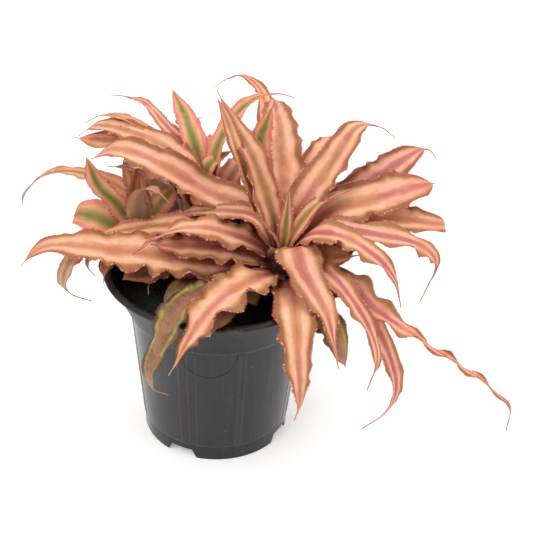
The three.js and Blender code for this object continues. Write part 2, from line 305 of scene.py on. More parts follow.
def makeStudio():
    white = (1, 1, 1, 1)
    world = bpy.data.worlds.new("surround")
    world.use_nodes = True
    direction = addNode("ShaderNodeTexCoord", tree=world.node_tree, output="Generated")
    background = world.node_tree.nodes["Background"].inputs
    feed(white, background["Color"])
    feed(step(partOf(direction, "Y"), *studio["surround"]), background["Strength"])
    bpy.context.scene.world = world
    for name, (spot, energy, size) in studio["lamps"].items():
        data = bpy.data.lights.new(name, "AREA")
        data.energy = energy
        data.size = size
        lamp = bpy.data.objects.new(name, data)
        lamp.location = spot
        lamp.rotation_euler = (Vector(studio["aim"]) - Vector(spot)).to_track_quat("-Z", "Y").to_euler()
        bpy.context.scene.collection.objects.link(lamp)
    side = studio["floorReach"]
    corners = [(-side, -side, 0), (side, -side, 0), (side, side, 0), (-side, side, 0)]
    floor = meshFrom("floor", corners, [(0, 1, 2, 3)])
    material, _, shader = newMaterial("floor")
    feed(colour(*studio["floor"]), shader["Base Color"])
    feed(studio["floorRoughness"], shader["Roughness"])
    # painted light: the floor's own glow
    feed(white, shader["Emission Color"])
    feed(studio["floorPaintedLight"], shader["Emission Strength"])
    floor.data.materials.append(material)


makeCamera()
makeStudio()
print("camera and studio made")


# Shader groups that several materials share
def speckleMask():
    # small irregular specks: scurf on a leaf, dust on the pot, pale bits in the soil
    inputs = {"Vector": "Vector", "Scale": "Float", "Low": "Float", "High": "Float"}
    group, given, result = newGroup("speckle", "Shader", inputs, "Mask", "Float")
    coarse = noise(given["Vector"], given["Scale"], 5.0, 0.7)
    feed(step(coarse, given["Low"], given["High"]), result)
    return group


def grainHeight():
    # fine moulded or cellular grain over a broader one, as a height
    inputs = {"Vector": "Vector", "Scale": "Float", "Coarse": "Float"}
    group, given, result = newGroup("grain", "Shader", inputs, "Height", "Float")
    fine = noise(given["Vector"], given["Scale"], 3.0, 0.5)
    broad = noise(given["Vector"], given["Scale"] * 0.12, 2.0, 0.5)
    feed(fine + broad * given["Coarse"], result)
    return group


speckle = speckleMask()
grain = grainHeight()


def useGroup(group, spot, **values):
    return addNode("ShaderNodeGroup", {"Vector": spot, **values}, node_tree=group)


# Leaf colours and where they lie
leafLook = {
    # bands from the middle of the blade (0) to its margin (1)
    "bands": {
        "peach": [(0.0, (198, 124, 82)), (0.16, (212, 142, 98)), (0.4, (247, 190, 156)),
                  (0.6, (243, 178, 142)), (0.74, (198, 150, 78)), (0.86, (162, 124, 50)),
                  (1.0, (188, 104, 70))],
        "pink": [(0.0, (184, 92, 92)), (0.2, (206, 112, 106)), (0.36, (247, 176, 158)),
                 (0.56, (244, 164, 148)), (0.68, (182, 138, 74)), (0.84, (152, 122, 50)),
                 (1.0, (202, 114, 92))],
        "green": [(0.0, (110, 110, 30)), (0.2, (134, 126, 44)), (0.4, (190, 154, 84)),
                  (0.6, (234, 168, 126)), (0.78, (222, 140, 114)), (1.0, (240, 132, 128))],
        "old": [(0.0, (150, 98, 72)), (0.3, (158, 106, 68)), (0.52, (140, 108, 54)),
                (0.74, (172, 166, 60)), (0.88, (112, 84, 42)), (1.0, (78, 46, 32))],
        "under": [(0.0, (190, 154, 132)), (0.5, (202, 166, 144)), (0.8, (198, 146, 126)),
                  (1.0, (232, 166, 152))],
    },
    "tints": {
        "plain": (228, 158, 118),
        "strip": (148, 78, 40),
        "rim": (176, 76, 46),
        "pinkRim": (232, 104, 112),
        "witheredRim": (80, 48, 34),
        "paleTooth": (236, 160, 134),
        "darkTooth": (160, 66, 44),
        # real reddening of the leaf bases, with painted shade towards the root
        "base": (120, 44, 40),
        # painted shade: the deep dark at the heart of the rosette
        "heartShade": (70, 22, 22),
        "tip": (190, 96, 62),
        "witheredTip": (168, 136, 112),
        "rot": (96, 62, 42),
        "cloud": (206, 150, 104),
        "streak": (196, 136, 104),
        "underLine": (132, 92, 78),
        "scurf": (255, 226, 208),
    },
    # scale, detail and roughness of a noise, then the step on it: from, to, and the share at both
    "patches": {
        "pink": (0.035, 2.0, 0.55, 0.36, 0.66, -0.35, 0.5),
        "plain": (0.06, 3.0, 0.55, 0.48, 0.72, 0.0, 0.5),
        "rot": (0.16, 4.0, 0.7, 0.44, 0.62, 0.0, 0.65),
        "cloud": (0.11, 4.0, 0.6, 0.4, 0.72, 0.0, 0.35),
        "paleTooth": (0.8, 0.0, 0.55, 0.46, 0.66, 0.0, 1.0),
    },
    # stretches from the root (0) to the tip (1), and the share at both of their ends
    "stretches": {
        "pink": (0.05, 0.5, 0.6, 0.0),
        "base": (0.02, 0.3, 0.85, 0.0),
        "heartShade": (0.0, 0.14, 0.9, 0.0),
        "tip": (0.74, 1.0, 0.0, 0.55),
    },
    # fine lines along the blade, and the steps on them that tint and roughen it
    "lineSqueeze": (0.08, 1.0, 1.0),
    "lines": (1.3, 4.0, 0.65),
    "streakSteps": (0.34, 0.6, 0.15, 0.0),
    "underSteps": (0.4, 0.6, 0.5, 0.0),
    "roughness": (0.3, 0.7, 0.38, 0.56),
    # how far the bands wander and shift with the lines, less so at the margin
    "wander": (0.07, 0.5),
    "lineShift": 0.14,
    "steady": (0.85, 1.0, 1.0, 0.0),
    "stripSteps": (0.66, 0.86),
    # silvery scales under the blade, fewer on a withered leaf
    "scaleSqueeze": (1.0, 0.35, 1.0),
    "scales": (2.4, 3.0),
    "silver": (0.25, 0.6, 0.4, 0.8),
    "witheredSilver": (0.0, 1.0, 1.0, 0.2),
    "scurfShare": 0.13,
    # width of the red margin in millimetres, and the half width of a blade that has all of it
    "rimSteps": (0.15, 0.65, 0.8, 0.0),
    "rimBlade": (0.8, 3.0),
    # shares of the half width: the middle, where it isn't measured, and what lies past the margin
    "middle": 0.05,
    "pastMargin": 1.05,
    "subsurface": 0.08,
    "subsurfaceRadius": (1.0, 0.45, 0.25),
    "subsurfaceScale": 0.0012,
    "bump": (0.6, 0.0004),
}


def leafMaterial():
    material, tree, shader = newMaterial("leaf")
    tints = coloursOf(leafLook)

    def attribute(name, output="Fac"):
        return addNode("ShaderNodeAttribute", tree=tree, output=output, attribute_name=name)

    spot, along = attribute("leafPlace", "Vector"), attribute("along")

    def patches(name):
        scale, detail, roughness, *steps = leafLook["patches"][name]
        return step(noise(spot, scale, detail, roughness), *steps)

    def stretch(name):
        return step(along, *leafLook["stretches"][name])

    look, darkShare = attribute("look", "Color"), attribute("look", "Alpha")
    pinkShare, greenShare, oldShare = [addNode("ShaderNodeSeparateColor", [look], k) for k in range(3)]
    # the bands wander, and fine lines run along the blade
    lines = noise(vectorCalc("MULTIPLY", spot, leafLook["lineSqueeze"]), *leafLook["lines"])
    wanderScale, wanderShare = leafLook["wander"]
    wander = (noise(spot, wanderScale) - 0.5) * wanderShare
    shift = (lines - 0.5) * leafLook["lineShift"]
    edge = calc("ABSOLUTE", attribute("across"))
    across = edge + (wander + shift) * step(edge, *leafLook["steady"])
    bands = {name: ramp(across, stops) for name, stops in leafLook["bands"].items()}
    # every leaf is pinker near its root and in broad patches
    pinkness = pinkShare + stretch("pink") + patches("pink")
    pinkness = calc("MINIMUM", calc("MAXIMUM", pinkness, 0.0), 1.0)
    tint = mixColour(pinkness, bands["peach"], bands["pink"])
    tint = mixColour(greenShare, tint, bands["green"])
    # here and there the bands fade into one colour, and withered leaves are blotched
    tint = mixColour(patches("plain"), tint, tints["plain"])
    tint = mixColour(oldShare, tint, mixColour(patches("rot"), bands["old"], tints["rot"]))
    # brown strip beside the margin, broader in some places than in others
    tint = mixColour(step(across, *leafLook["stripSteps"]) * darkShare, tint, tints["strip"])
    # redder towards the root with painted shade there, deep painted shade at the rosette's heart, rusty at
    # the tip, and never quite even
    tint = mixColour(stretch("base"), tint, tints["base"], "MULTIPLY")
    # painted shade at the heart of the rosette, multiplied over the root of every leaf
    tint = mixColour(stretch("heartShade"), tint, tints["heartShade"], "MULTIPLY")
    tint = mixColour(stretch("tip"), tint, mixColour(oldShare, tints["tip"], tints["witheredTip"]))
    tint = mixColour(patches("cloud"), tint, tints["cloud"], "MULTIPLY")
    tint = mixColour(step(lines, *leafLook["streakSteps"]), tint, tints["streak"], "MULTIPLY")
    # silvery underside, and scurf on both sides
    under = mixColour(step(lines, *leafLook["underSteps"]), bands["under"], tints["underLine"])
    scales = noise(vectorCalc("MULTIPLY", spot, leafLook["scaleSqueeze"]), *leafLook["scales"])
    silver = attribute("under") * step(scales, *leafLook["silver"])
    silver = silver * step(oldShare, *leafLook["witheredSilver"])
    tint = mixColour(silver, tint, under)
    scurf = useGroup(speckle, spot, Scale=1.4, Low=0.52, High=0.72)
    tint = mixColour(scurf * leafLook["scurfShare"], tint, tints["scurf"])
    # thin red margin of an even width, then the teeth, some pale and some dark
    reach = calc("ABSOLUTE", partOf(spot, "Y"))
    half = reach / calc("MAXIMUM", edge, leafLook["middle"])
    rimTint = mixColour(greenShare, tints["rim"], tints["pinkRim"])
    rimTint = mixColour(oldShare, rimTint, tints["witheredRim"])
    rimShare = step(half - reach, *leafLook["rimSteps"]) * step(half, *leafLook["rimBlade"])
    tint = mixColour(rimShare, tint, rimTint)
    tooth = mixColour(patches("paleTooth"), tints["darkTooth"], tints["paleTooth"])
    tooth = mixColour(oldShare, tooth, tints["witheredRim"])
    tint = mixColour(calc("GREATER_THAN", edge, leafLook["pastMargin"]), tint, tooth)
    feed(tint, shader["Base Color"])
    feed(step(lines, *leafLook["roughness"]), shader["Roughness"])
    feed(leafLook["subsurface"], shader["Subsurface Weight"])
    feed(leafLook["subsurfaceRadius"], shader["Subsurface Radius"])
    feed(leafLook["subsurfaceScale"], shader["Subsurface Scale"])
    feed(bump(lines + useGroup(grain, spot, Scale=3.0, Coarse=0.5), *leafLook["bump"]), shader["Normal"])
    return material


# Leaf blade: the rule that every leaf follows
bladeShape = {
    # in the middle of the root, and how much of it is lost towards the tip
    "thickness": 1.0,
    "thinning": 0.2,
    "tipWidth": 0.5,
    "rootShare": 0.4,
    "swellShare": 0.4,
    "tailShare": 0.21,
    "channelShare": 0.18,
    # how much later the waves of one margin come than the other's
    "marginLag": 0.9,
    # how fast the waves rise from the root and die out at the tip
    "rootFade": 5.0,
    "tipFade": 4.0,
    # patterns of two leaves lie this far apart in the noises
    "seedStep": 17.0,
    "stationStep": 1.1,
    "columns": 29,
    # share of the half width from which a point is on the margin
    "marginFrom": 0.9999,
}
# uneven frill near the margins
frillShape = {
    "spacing": 12.5,
    "height": 1.7,
    # how far it draws the margin in, and how much later than it rises
    "draw": 0.15,
    "drawLag": 0.8,
    # a leaf whose waves are lower than this has less of a frill
    "fullWave": 1.8,
    # row, scale and amount of the noise that shifts its waves and changes their height
    "shift": (0.0, 0.045, 7.0),
    "change": (90.0, 0.03, 1.5),
    # the same noise, this far apart for the other margin and for the next leaf
    "sideStep": 40.0,
    "seedStep": 7.3,
    "meanHeight": 0.75,
    "leastHeight": 0.1,
    # half width in metres of a blade that has all of it, and the most of it on a wider one
    "fullHalfWidth": 0.009,
    "mostShare": 1.2,
    "closeness": 3.5,
}
toothShape = {
    "gap": 1.05,
    "height": 1.15,
    "halfWidth": 0.5,
    "halfThickness": 0.2,
    # sizes between these shares, smaller at the tip, none at the root
    "least": 0.6,
    "most": 1.2,
    "taper": (0.75, 1.0, 1.0, 0.25),
    "from": 0.08,
    "lean": 0.45,
    # they count as past the margin, which is at 1, so that the leaf's material knows them
    "across": 1.1,
}


def catmullRom(points, samples=40):
    # uniform Catmull-Rom through the points, the ends carried on straight
    points = np.asarray(points, float)
    points = np.vstack([2 * points[0] - points[1], points, 2 * points[-1] - points[-2]])
    t = np.linspace(0, 1, samples, endpoint=False)[:, None]
    parts = []
    for p0, p1, p2, p3 in zip(points, points[1:], points[2:], points[3:]):
        m1, m2 = (p2 - p0) / 2, (p3 - p1) / 2
        parts.append((2 * t**3 - 3 * t**2 + 1) * p1 + (t**3 - 2 * t**2 + t) * m1
                     + (3 * t**2 - 2 * t**3) * p2 + (t**3 - t**2) * m2)
    return np.vstack([*parts, points[-2]])


def leafStations(width, full, tail, roll, way):
    # points along the midrib, equally far apart, with the blade's own directions and half width
    dense = catmullRom(way)
    run = np.concatenate([[0], np.cumsum(np.linalg.norm(np.diff(dense, axis=0), axis=1))])
    count = int(run[-1] / bladeShape["stationStep"]) + 1
    u = np.linspace(0, 1, count)
    middle = np.column_stack([np.interp(u * run[-1], run, dense[:, k]) for k in range(3)])
    along = unit(np.gradient(middle, axis=0))
    sideways = unit(np.array([dense[0, 1] - dense[-1, 1], dense[-1, 0] - dense[0, 0], 0]))
    across = unit(sideways - along * (along @ sideways)[:, None])
    upward = np.cross(along, across)
    turn = math.radians(roll)
    side = across * math.cos(turn) + upward * math.sin(turn)
    onBlade = np.minimum(u / (1 - tail), 1)
    t = np.clip(onBlade / bladeShape["swellShare"], 0, 1)
    swell = bladeShape["rootShare"] + (1 - bladeShape["rootShare"]) * t * t * (3 - 2 * t)
    blade = np.maximum(swell * (1 - onBlade**full), bladeShape["tailShare"] * (1 - u**3))
    half = np.maximum(width / 2 * blade, bladeShape["tipWidth"] / 2)
    return u, middle, along, side, half, run[-1]


def leafObject(name, width, full, tail, roll, way):
    # a line of points that carries the blade's directions, closed by a point of no width at each end
    u, middle, along, side, half, length = leafStations(width, full, tail, roll, way)
    ends = [0, *range(len(u)), len(u) - 1]
    body = np.ones(len(ends))
    body[[0, -1]] = 0
    thing = meshFrom(name, place(middle[ends]), [])
    layers = {"forward": along[ends], "side": side[ends], "up": np.cross(along, side)[ends]}
    for label, values in layers.items():
        layer = thing.data.attributes.new(label, "FLOAT_VECTOR", "POINT")
        layer.data.foreach_set("vector", values.astype(np.float32).ravel())
    for label, values in {"half": half[ends] * mm, "along": u[ends], "body": body}.items():
        layer = thing.data.attributes.new(label, "FLOAT", "POINT")
        layer.data.foreach_set("value", values.astype(np.float32))
    return thing, len(ends), length


def leafTree():
    vector = "FLOAT_VECTOR"
    tree, given, result = newGroup("leafBlade", "Geometry", {
        "Geometry": "Geometry", "Stations": "Int", "Columns": "Int", "Length": "Float", "Waves": "Float",
        "Wave Height": "Float", "Lag": "Float", "Channel": "Float", "Thickness": "Float", "Seed": "Float",
        "Look": "Color", "Frill Spacing": "Float", "Frill Height": "Float", "Frill Draw": "Float",
        "Tooth Gap": "Float", "Tooth Size": "Vector", "Leaf Material": "Material",
    })
    seed, columns = given["Seed"], given["Columns"]
    # rows of a grid are sections of the blade, and its columns go round a section
    blade = addNode("GeometryNodeMeshGrid", {"Vertices X": given["Stations"], "Vertices Y": columns})
    index = addNode("GeometryNodeInputIndex", tree=tree)
    station = calc("FLOOR", (index + 0.5) / columns)
    column = index - station * columns
    turn = column * fullTurn / (columns - 1.0)
    share, face = calc("COSINE", turn), calc("SINE", turn)
    square = share * share
    rightSide = calc("GREATER_THAN", share, 0.0)

    def carried(label, kind="FLOAT"):
        return addNode("GeometryNodeInputNamedAttribute", {"Name": label}, tree=tree, data_type=kind)

    def atStation(value, kind="FLOAT"):
        # a value that the line of points carries at this station
        inputs = {"Geometry": given["Geometry"], "Value": value, "Index": station}
        return addNode("GeometryNodeSampleIndex", inputs, data_type=kind, domain="POINT")

    middle = atStation(addNode("GeometryNodeInputPosition", tree=tree), vector)
    side, up, forward = [atStation(carried(label, vector), vector) for label in ("side", "up", "forward")]
    half, along, body = [atStation(carried(label)) for label in ("half", "along", "body")]
    run = along * given["Length"]
    phase = along * given["Waves"] * fullTurn + rightSide * given["Lag"]
    fade = calc("MINIMUM", along * bladeShape["rootFade"], 1.0)
    fade = calc("MINIMUM", fade, (1.0 - along) * bladeShape["tipFade"])
    wave = calc("SINE", phase) * given["Wave Height"]

    def drift(row, scale, amount):
        # a value about 0 that drifts along the margin, another on each side of the blade
        spot = vectorOf(run, rightSide * frillShape["sideStep"] + row, seed * frillShape["seedStep"])
        return (noise(spot, scale, 1.0, 0.5) - 0.5) * 2.0 * amount

    frillPhase = run * fullTurn / given["Frill Spacing"] + drift(*frillShape["shift"])
    uneven = drift(*frillShape["change"]) + frillShape["meanHeight"]
    uneven = calc("MAXIMUM", uneven, frillShape["leastHeight"]) * fade
    narrowness = calc("MINIMUM", half / frillShape["fullHalfWidth"], frillShape["mostShare"])
    margins = calc("POWER", calc("ABSOLUTE", share), frillShape["closeness"])
    frillLift = calc("SINE", frillPhase) * uneven * given["Frill Height"] * (margins * narrowness)
    drawn = calc("COSINE", frillPhase - frillShape["drawLag"]) * uneven * given["Frill Draw"] * margins
    # where each point of a section lies, to the side and up; the blade thins out towards its tip
    thick = face * body * given["Thickness"] * (0.5 - along * bladeShape["thinning"])
    lift = wave * (square * fade) + frillLift + given["Channel"] * half * square * body + thick
    reach = share * half * body * (1.0 - drawn)
    position = vectorCalc("ADD", middle, vectorCalc("SCALE", side, reach))
    position = vectorCalc("ADD", position, vectorCalc("SCALE", up, lift))
    lean = vectorCalc("SCALE", forward, toothShape["lean"])
    # the first and last columns meet on one margin, so only the first of them counts
    notLast = calc("LESS_THAN", column, columns - 1.5)
    margin = calc("GREATER_THAN", calc("ABSOLUTE", share), bladeShape["marginFrom"]) * notLast
    stored = {
        "along": ("FLOAT", along),
        "across": ("FLOAT", share),
        "under": ("FLOAT", calc("LESS_THAN", face, -0.0001)),
        "margin": ("FLOAT", margin),
        "leafPlace": (vector, vectorOf(run, reach * 1000.0, seed * bladeShape["seedStep"])),
        "outward": (vector, vectorCalc("ADD", vectorCalc("SCALE", side, share), lean)),
        "look": ("FLOAT_COLOR", given["Look"]),
        "forward": (vector, forward),
    }

    def store(geometry, label, kind, value, domain="POINT"):
        inputs = {"Geometry": geometry, "Name": label, "Value": value}
        return addNode("GeometryNodeStoreNamedAttribute", inputs, data_type=kind, domain=domain)

    for label, (kind, value) in stored.items():
        blade = store(blade, label, kind, value)
    blade = addNode("GeometryNodeSetPosition", {"Geometry": blade, "Position": position})
    outside = addNode("GeometryNodeFlipFaces", {"Mesh": blade})
    closed = addNode("GeometryNodeMergeByDistance", {"Geometry": outside, "Distance": 1e-7})
    # teeth along both margins, a little pointed towards the tip
    onMargin = calc("GREATER_THAN", carried("margin"), 0.5)
    edge = addNode("GeometryNodeMeshToCurve", {"Mesh": blade, "Selection": onMargin})
    inputs = {"Curve": edge, "Length": given["Tooth Gap"]}
    spaced = addNode("GeometryNodeResampleCurve", inputs, mode="LENGTH")
    cone = {"Vertices": 4, "Radius Top": 0.0, "Radius Bottom": 1.0, "Depth": 1.0}
    axes = {"Primary Axis": carried("outward", vector), "Secondary Axis": carried("forward", vector)}
    size = randomValue(toothShape["least"], toothShape["most"], seed * 10.0)
    size = size * step(carried("along"), *toothShape["taper"])
    teeth = addNode("GeometryNodeInstanceOnPoints", {
        "Points": spaced,
        "Selection": calc("GREATER_THAN", carried("along"), toothShape["from"]),
        "Instance": addNode("GeometryNodeMeshCone", cone, tree=tree),
        "Rotation": addNode("FunctionNodeAxesToRotation", axes, primary_axis="Z", secondary_axis="X"),
        "Scale": vectorCalc("SCALE", given["Tooth Size"], size),
    })
    teeth = store(teeth, "across", "FLOAT", toothShape["across"], "INSTANCE")
    smoothed = addNode("GeometryNodeSetShadeSmooth", {"Geometry": closed})
    finishTree(result, given["Leaf Material"], teeth, smoothed)
    return tree


bladeTree = leafTree()
leafSkin = leafMaterial()


def makeLeaf(name, seed, width, full, tail, waves, waveHeight, roll, look, way):
    line, stations, length = leafObject(name, width, full, tail, roll, way)
    toothSize = [toothShape[key] * mm for key in ("halfWidth", "halfThickness", "height")]
    frillShare = min(waveHeight / frillShape["fullWave"], 1)
    values = {
        "Stations": stations,
        "Columns": bladeShape["columns"],
        "Length": length,
        "Waves": float(waves),
        "Wave Height": waveHeight * mm,
        "Lag": bladeShape["marginLag"],
        "Channel": bladeShape["channelShare"],
        "Thickness": bladeShape["thickness"] * mm,
        "Seed": float(seed),
        "Look": look,
        "Frill Spacing": frillShape["spacing"],
        "Frill Height": frillShape["height"] * frillShare * mm,
        "Frill Draw": frillShape["draw"] * frillShare,
        "Tooth Gap": toothShape["gap"] * mm,
        "Tooth Size": toothSize,
        "Leaf Material": leafSkin,
    }
    return runTree(bladeTree, line, values, name)


# Nursery pot: thin tapered plastic with a flared collar, a rounded lip and a notched foot ring
potShape = {
    # outline of the wall from the foot's inner edge, round the outside and lip, and down the inside:
    # radius, height and the rounding of that corner
    "wall": [(37.8, 0, 0.1), (39.4, 0, 0.3), (39.4, 8.6, 0.4), (40.2, 9.5, 0.4), (46.4, 74.2, 0.5),
             (47.0, 75.1, 0.5), (57.0, 96.6, 0.5), (59.8, 97.0, 0.4), (60.0, 98.7, 0.6), (57.4, 99.0, 0.9),
             (55.8, 98.4, 0.5), (55.1, 96.3, 0.5), (45.8, 75.0, 0.5), (39.0, 9.4, 0.5), (37.8, 8.8, 0.4),
             (37.8, 6.8, 0.3)],
    "floorTop": 6.8,
    "floorBottom": 5.6,
    "sides": 192,
    "arcSteps": 4,
    "notches": 4,
    "notchTurn": -24.6,
    "notchHeight": 5.0,
    "notchBelow": 18.0,
    "notchAbove": 12.0,
    # cutter of a foot notch, from inside the foot to outside, and how far a cutter stands out
    "notchReach": (28.0, 52.0),
    "cutterSpare": 1.0,
    "drains": 4,
    "drainRing": 24.0,
    "drainRadius": 4.0,
    "drainSides": 32,
    # low upright ribs on the body: degrees from the front, and half their width
    "ribs": [(-23.0, 1.2), (-16.5, 1.0), (-11.0, 0.9), (17.6, 1.1), (21.4, 0.6)],
    "ribSets": 4,
    "ribEnds": (10.2, 73.4),
    "ribSteps": 12,
    # section of a rib: share of its half width to the side, and height over the wall
    "ribSection": [(-1.0, -0.1), (-0.6, 0.06), (-0.2, 0.13), (0.2, 0.13), (0.6, 0.06), (1.0, -0.1)],
    # half round line under the collar
    "panelRadius": 15.2,
    "panelTop": 74.0,
    "panelAngle": -3.0,
    "panelLine": 0.8,
    "panelSteps": 40,
    "panels": 2,
    # edges sharper than this, in degrees, stay sharp
    "sharpPot": 40,
    "sharpRidge": 60,
}


def roundedOutline(corners, steps):
    # each corner becomes a small arc between the points where it would leave the straight sides
    points = []
    for i, (radius, height, rounding) in enumerate(corners):
        corner = np.array([radius, height], float)
        before = np.array(corners[i - 1][:2], float) - corner
        after = np.array(corners[(i + 1) % len(corners)][:2], float) - corner
        leave = min(rounding, 0.45 * np.linalg.norm(before), 0.45 * np.linalg.norm(after))
        first, last = corner + unit(before) * leave, corner + unit(after) * leave
        for t in np.linspace(0, 1, steps):
            points.append((1 - t) ** 2 * first + 2 * t * (1 - t) * corner + t * t * last)
    return points


def turnedMesh(name, outline, sides, closed=False):
    # a turned mesh about the pot's axis: a point of no radius becomes one pole
    vertices, rings = [], []
    for radius, height in outline:
        if radius < 1e-6:
            rings.append([len(vertices)] * sides)
            vertices.append((0, 0, height))
            continue
        rings.append(list(range(len(vertices), len(vertices) + sides)))
        angles = np.arange(sides) * fullTurn / sides
        vertices += [(radius * math.cos(a), radius * math.sin(a), height) for a in angles]
    faces = []
    for low, high in zip(rings, rings[1:] + rings[:1] if closed else rings[1:]):
        for i in range(sides):
            j = (i + 1) % sides
            face = list(dict.fromkeys([low[i], low[j], high[j], high[i]]))
            if len(face) > 2:
                faces.append(face)
    return meshFrom(name, place(vertices), faces)


def ringTree():
    # copies of the incoming mesh, equally turned about the pot's axis
    tree, given, result = newGroup("ringCopies", "Geometry", {
        "Geometry": "Geometry", "Count": "Int", "Turn": "Float", "Axis": "Vector", "Material": "Material",
    })
    points = addNode("GeometryNodePoints", {"Count": given["Count"], "Position": given["Axis"]})
    index = addNode("GeometryNodeInputIndex", tree=tree)
    angles = vectorOf(0.0, 0.0, given["Turn"] + index * fullTurn / given["Count"])
    back = vectorCalc("SCALE", given["Axis"], -1.0)
    centred = addNode("GeometryNodeTransform", {"Geometry": given["Geometry"], "Translation": back})
    rotation = addNode("FunctionNodeEulerToRotation", [angles])
    inputs = {"Points": points, "Instance": centred, "Rotation": rotation}
    finishTree(result, given["Material"], addNode("GeometryNodeInstanceOnPoints", inputs))
    return tree


def ridgeAlong(name, way, halfWidth, section):
    # a low ridge that follows points on the pot's wall, closed all round
    way = np.asarray(way, float)
    outward = unit(way * (1, 1, 0))
    aside = unit(np.cross(np.gradient(way, axis=0), outward))
    count = len(section)
    vertices = [way + aside * offset * halfWidth + outward * lift for offset, lift in section]
    vertices = np.stack(vertices, axis=1).reshape(-1, 3)
    faces = []
    for i in range(len(way) - 1):
        for k in range(count):
            a, b = i * count + k, i * count + (k + 1) % count
            faces.append((a, b, b + count, a + count))
    last = (len(way) - 1) * count
    faces.append(tuple(reversed(range(count))))
    faces.append(tuple(range(last, last + count)))
    return meshFrom(name, place(vertices), faces)


def drainCutter():
    # an upright column where the drain holes' ring begins
    centre, radius = potShape["drainRing"], potShape["drainRadius"]
    low = potShape["floorBottom"] - potShape["cutterSpare"]
    high = potShape["floorTop"] + potShape["cutterSpare"]
    sides = potShape["drainSides"]
    angles = np.arange(sides) * fullTurn / sides
    corners = [(centre + radius * math.cos(a), radius * math.sin(a), z)
               for z in (low, high) for a in angles]
    faces = [(i, (i + 1) % sides, sides + (i + 1) % sides, sides + i) for i in range(sides)]
    faces.append(tuple(reversed(range(sides))))
    faces.append(tuple(range(sides, 2 * sides)))
    return meshFrom("drain", place(corners), faces)


def notchCutter():
    low, high = -potShape["cutterSpare"], potShape["notchHeight"]
    below, above = potShape["notchBelow"] / 2, potShape["notchAbove"] / 2
    section = [(-below, low), (below, low), (-above, high), (above, high)]
    corners = [(x, y, z) for x in potShape["notchReach"] for y, z in section]
    faces = [(2, 3, 1, 0), (4, 5, 7, 6), (0, 1, 5, 4), (1, 3, 7, 5), (3, 2, 6, 7), (2, 0, 4, 6)]
    return meshFrom("notch", place(corners), faces)


potLook = {
    "potPlastic": [(0.25, (34, 34, 37)), (0.75, (46, 46, 49))],
    # the ribs are lighter and browner: scuffed plastic, and painted highlight where the raised ribs catch
    # the light
    "potRibsScuffAndHighlight": [(0.25, (44, 41, 41)), (0.75, (62, 57, 55))],
    "potPanel": [(0.25, (18, 18, 19)), (0.75, (24, 24, 26))],
    "tints": {
        # painted shade of the collar
        "collar": (8, 8, 9),
        "dust": (120, 112, 104),
        "soilStain": (92, 66, 50),
        "grit": (214, 208, 200),
        "streak": (104, 84, 70),
    },
    # faint upright flow lines of the moulding
    "flowSqueeze": (1.0, 1.0, 0.04),
    "flow": (210.0, 4.0, 0.65),
    "flowHeight": 0.7,
    # painted shade darkens the collar, which lies turned to the ground: where it starts, in metres
    "collarSteps": (0.0735, 0.0765, 0.0, 0.85),
    # upright streaks of brown dust that water left on the body
    "streaks": (95.0, 2.0, 0.5),
    "streakSteps": (0.54, 0.74, 0.0, 0.1),
    "dustShare": 0.14,
    # soil dust and pale grit gather on the lip and just below it
    "lipSteps": (0.088, 0.0975),
    "smears": (90.0, 4.0, 0.7),
    "smearSteps": (0.5, 0.66, 0.0, 0.5),
    # roughness with the flow lines, and what dust, streaks and the collar add
    "roughness": (0.3, 0.7, 0.15, 0.2),
    "dustRoughness": 0.06,
    "addedRoughness": 0.3,
    "specular": 0.3,
    "bump": (0.15, 0.0002),
}


def potMaterial(name):
    material, tree, shader = newMaterial(name)
    tints = coloursOf(potLook)
    spot = objectPlace(tree)
    upright = vectorCalc("MULTIPLY", spot, potLook["flowSqueeze"])
    flow = noise(upright, *potLook["flow"])
    dust = useGroup(speckle, spot, Scale=260.0, Low=0.6, High=0.74)
    # painted shade on the collar, which faces the ground
    collar = step(partOf(spot, "Z"), *potLook["collarSteps"])
    tint = mixColour(collar, ramp(flow, potLook[name]), tints["collar"])
    streaks = step(noise(upright, *potLook["streaks"]), *potLook["streakSteps"])
    tint = mixColour(streaks, tint, tints["streak"])
    tint = mixColour(dust * potLook["dustShare"], tint, tints["dust"])
    lip = step(partOf(spot, "Z"), *potLook["lipSteps"])
    smears = step(noise(spot, *potLook["smears"]), *potLook["smearSteps"])
    tint = mixColour(smears * lip, tint, tints["soilStain"])
    grit = useGroup(speckle, spot, Scale=900.0, Low=0.66, High=0.72)
    tint = mixColour(grit * (lip * lip), tint, tints["grit"])
    feed(tint, shader["Base Color"])
    rough = step(flow, *potLook["roughness"]) + dust * potLook["dustRoughness"]
    rough = rough + streaks * potLook["addedRoughness"] + collar * potLook["addedRoughness"]
    feed(rough, shader["Roughness"])
    height = useGroup(grain, spot, Scale=900.0, Coarse=0.8) + flow * potLook["flowHeight"]
    feed(bump(height, *potLook["bump"]), shader["Normal"])
    feed(potLook["specular"], shader["Specular IOR Level"])
    return material


def potRadius(height):
    # outer radius of the body at a height
    (lowRadius, lowHeight, _), (highRadius, highHeight, _) = potShape["wall"][3:5]
    return lowRadius + (highRadius - lowRadius) * (height - lowHeight) / (highHeight - lowHeight)


def onBody(angle, height):
    # a point of the body's surface, its angle in degrees from the front
    turn = math.radians(angle - 90)
    radius = potRadius(height)
    return radius * math.cos(turn), radius * math.sin(turn), height


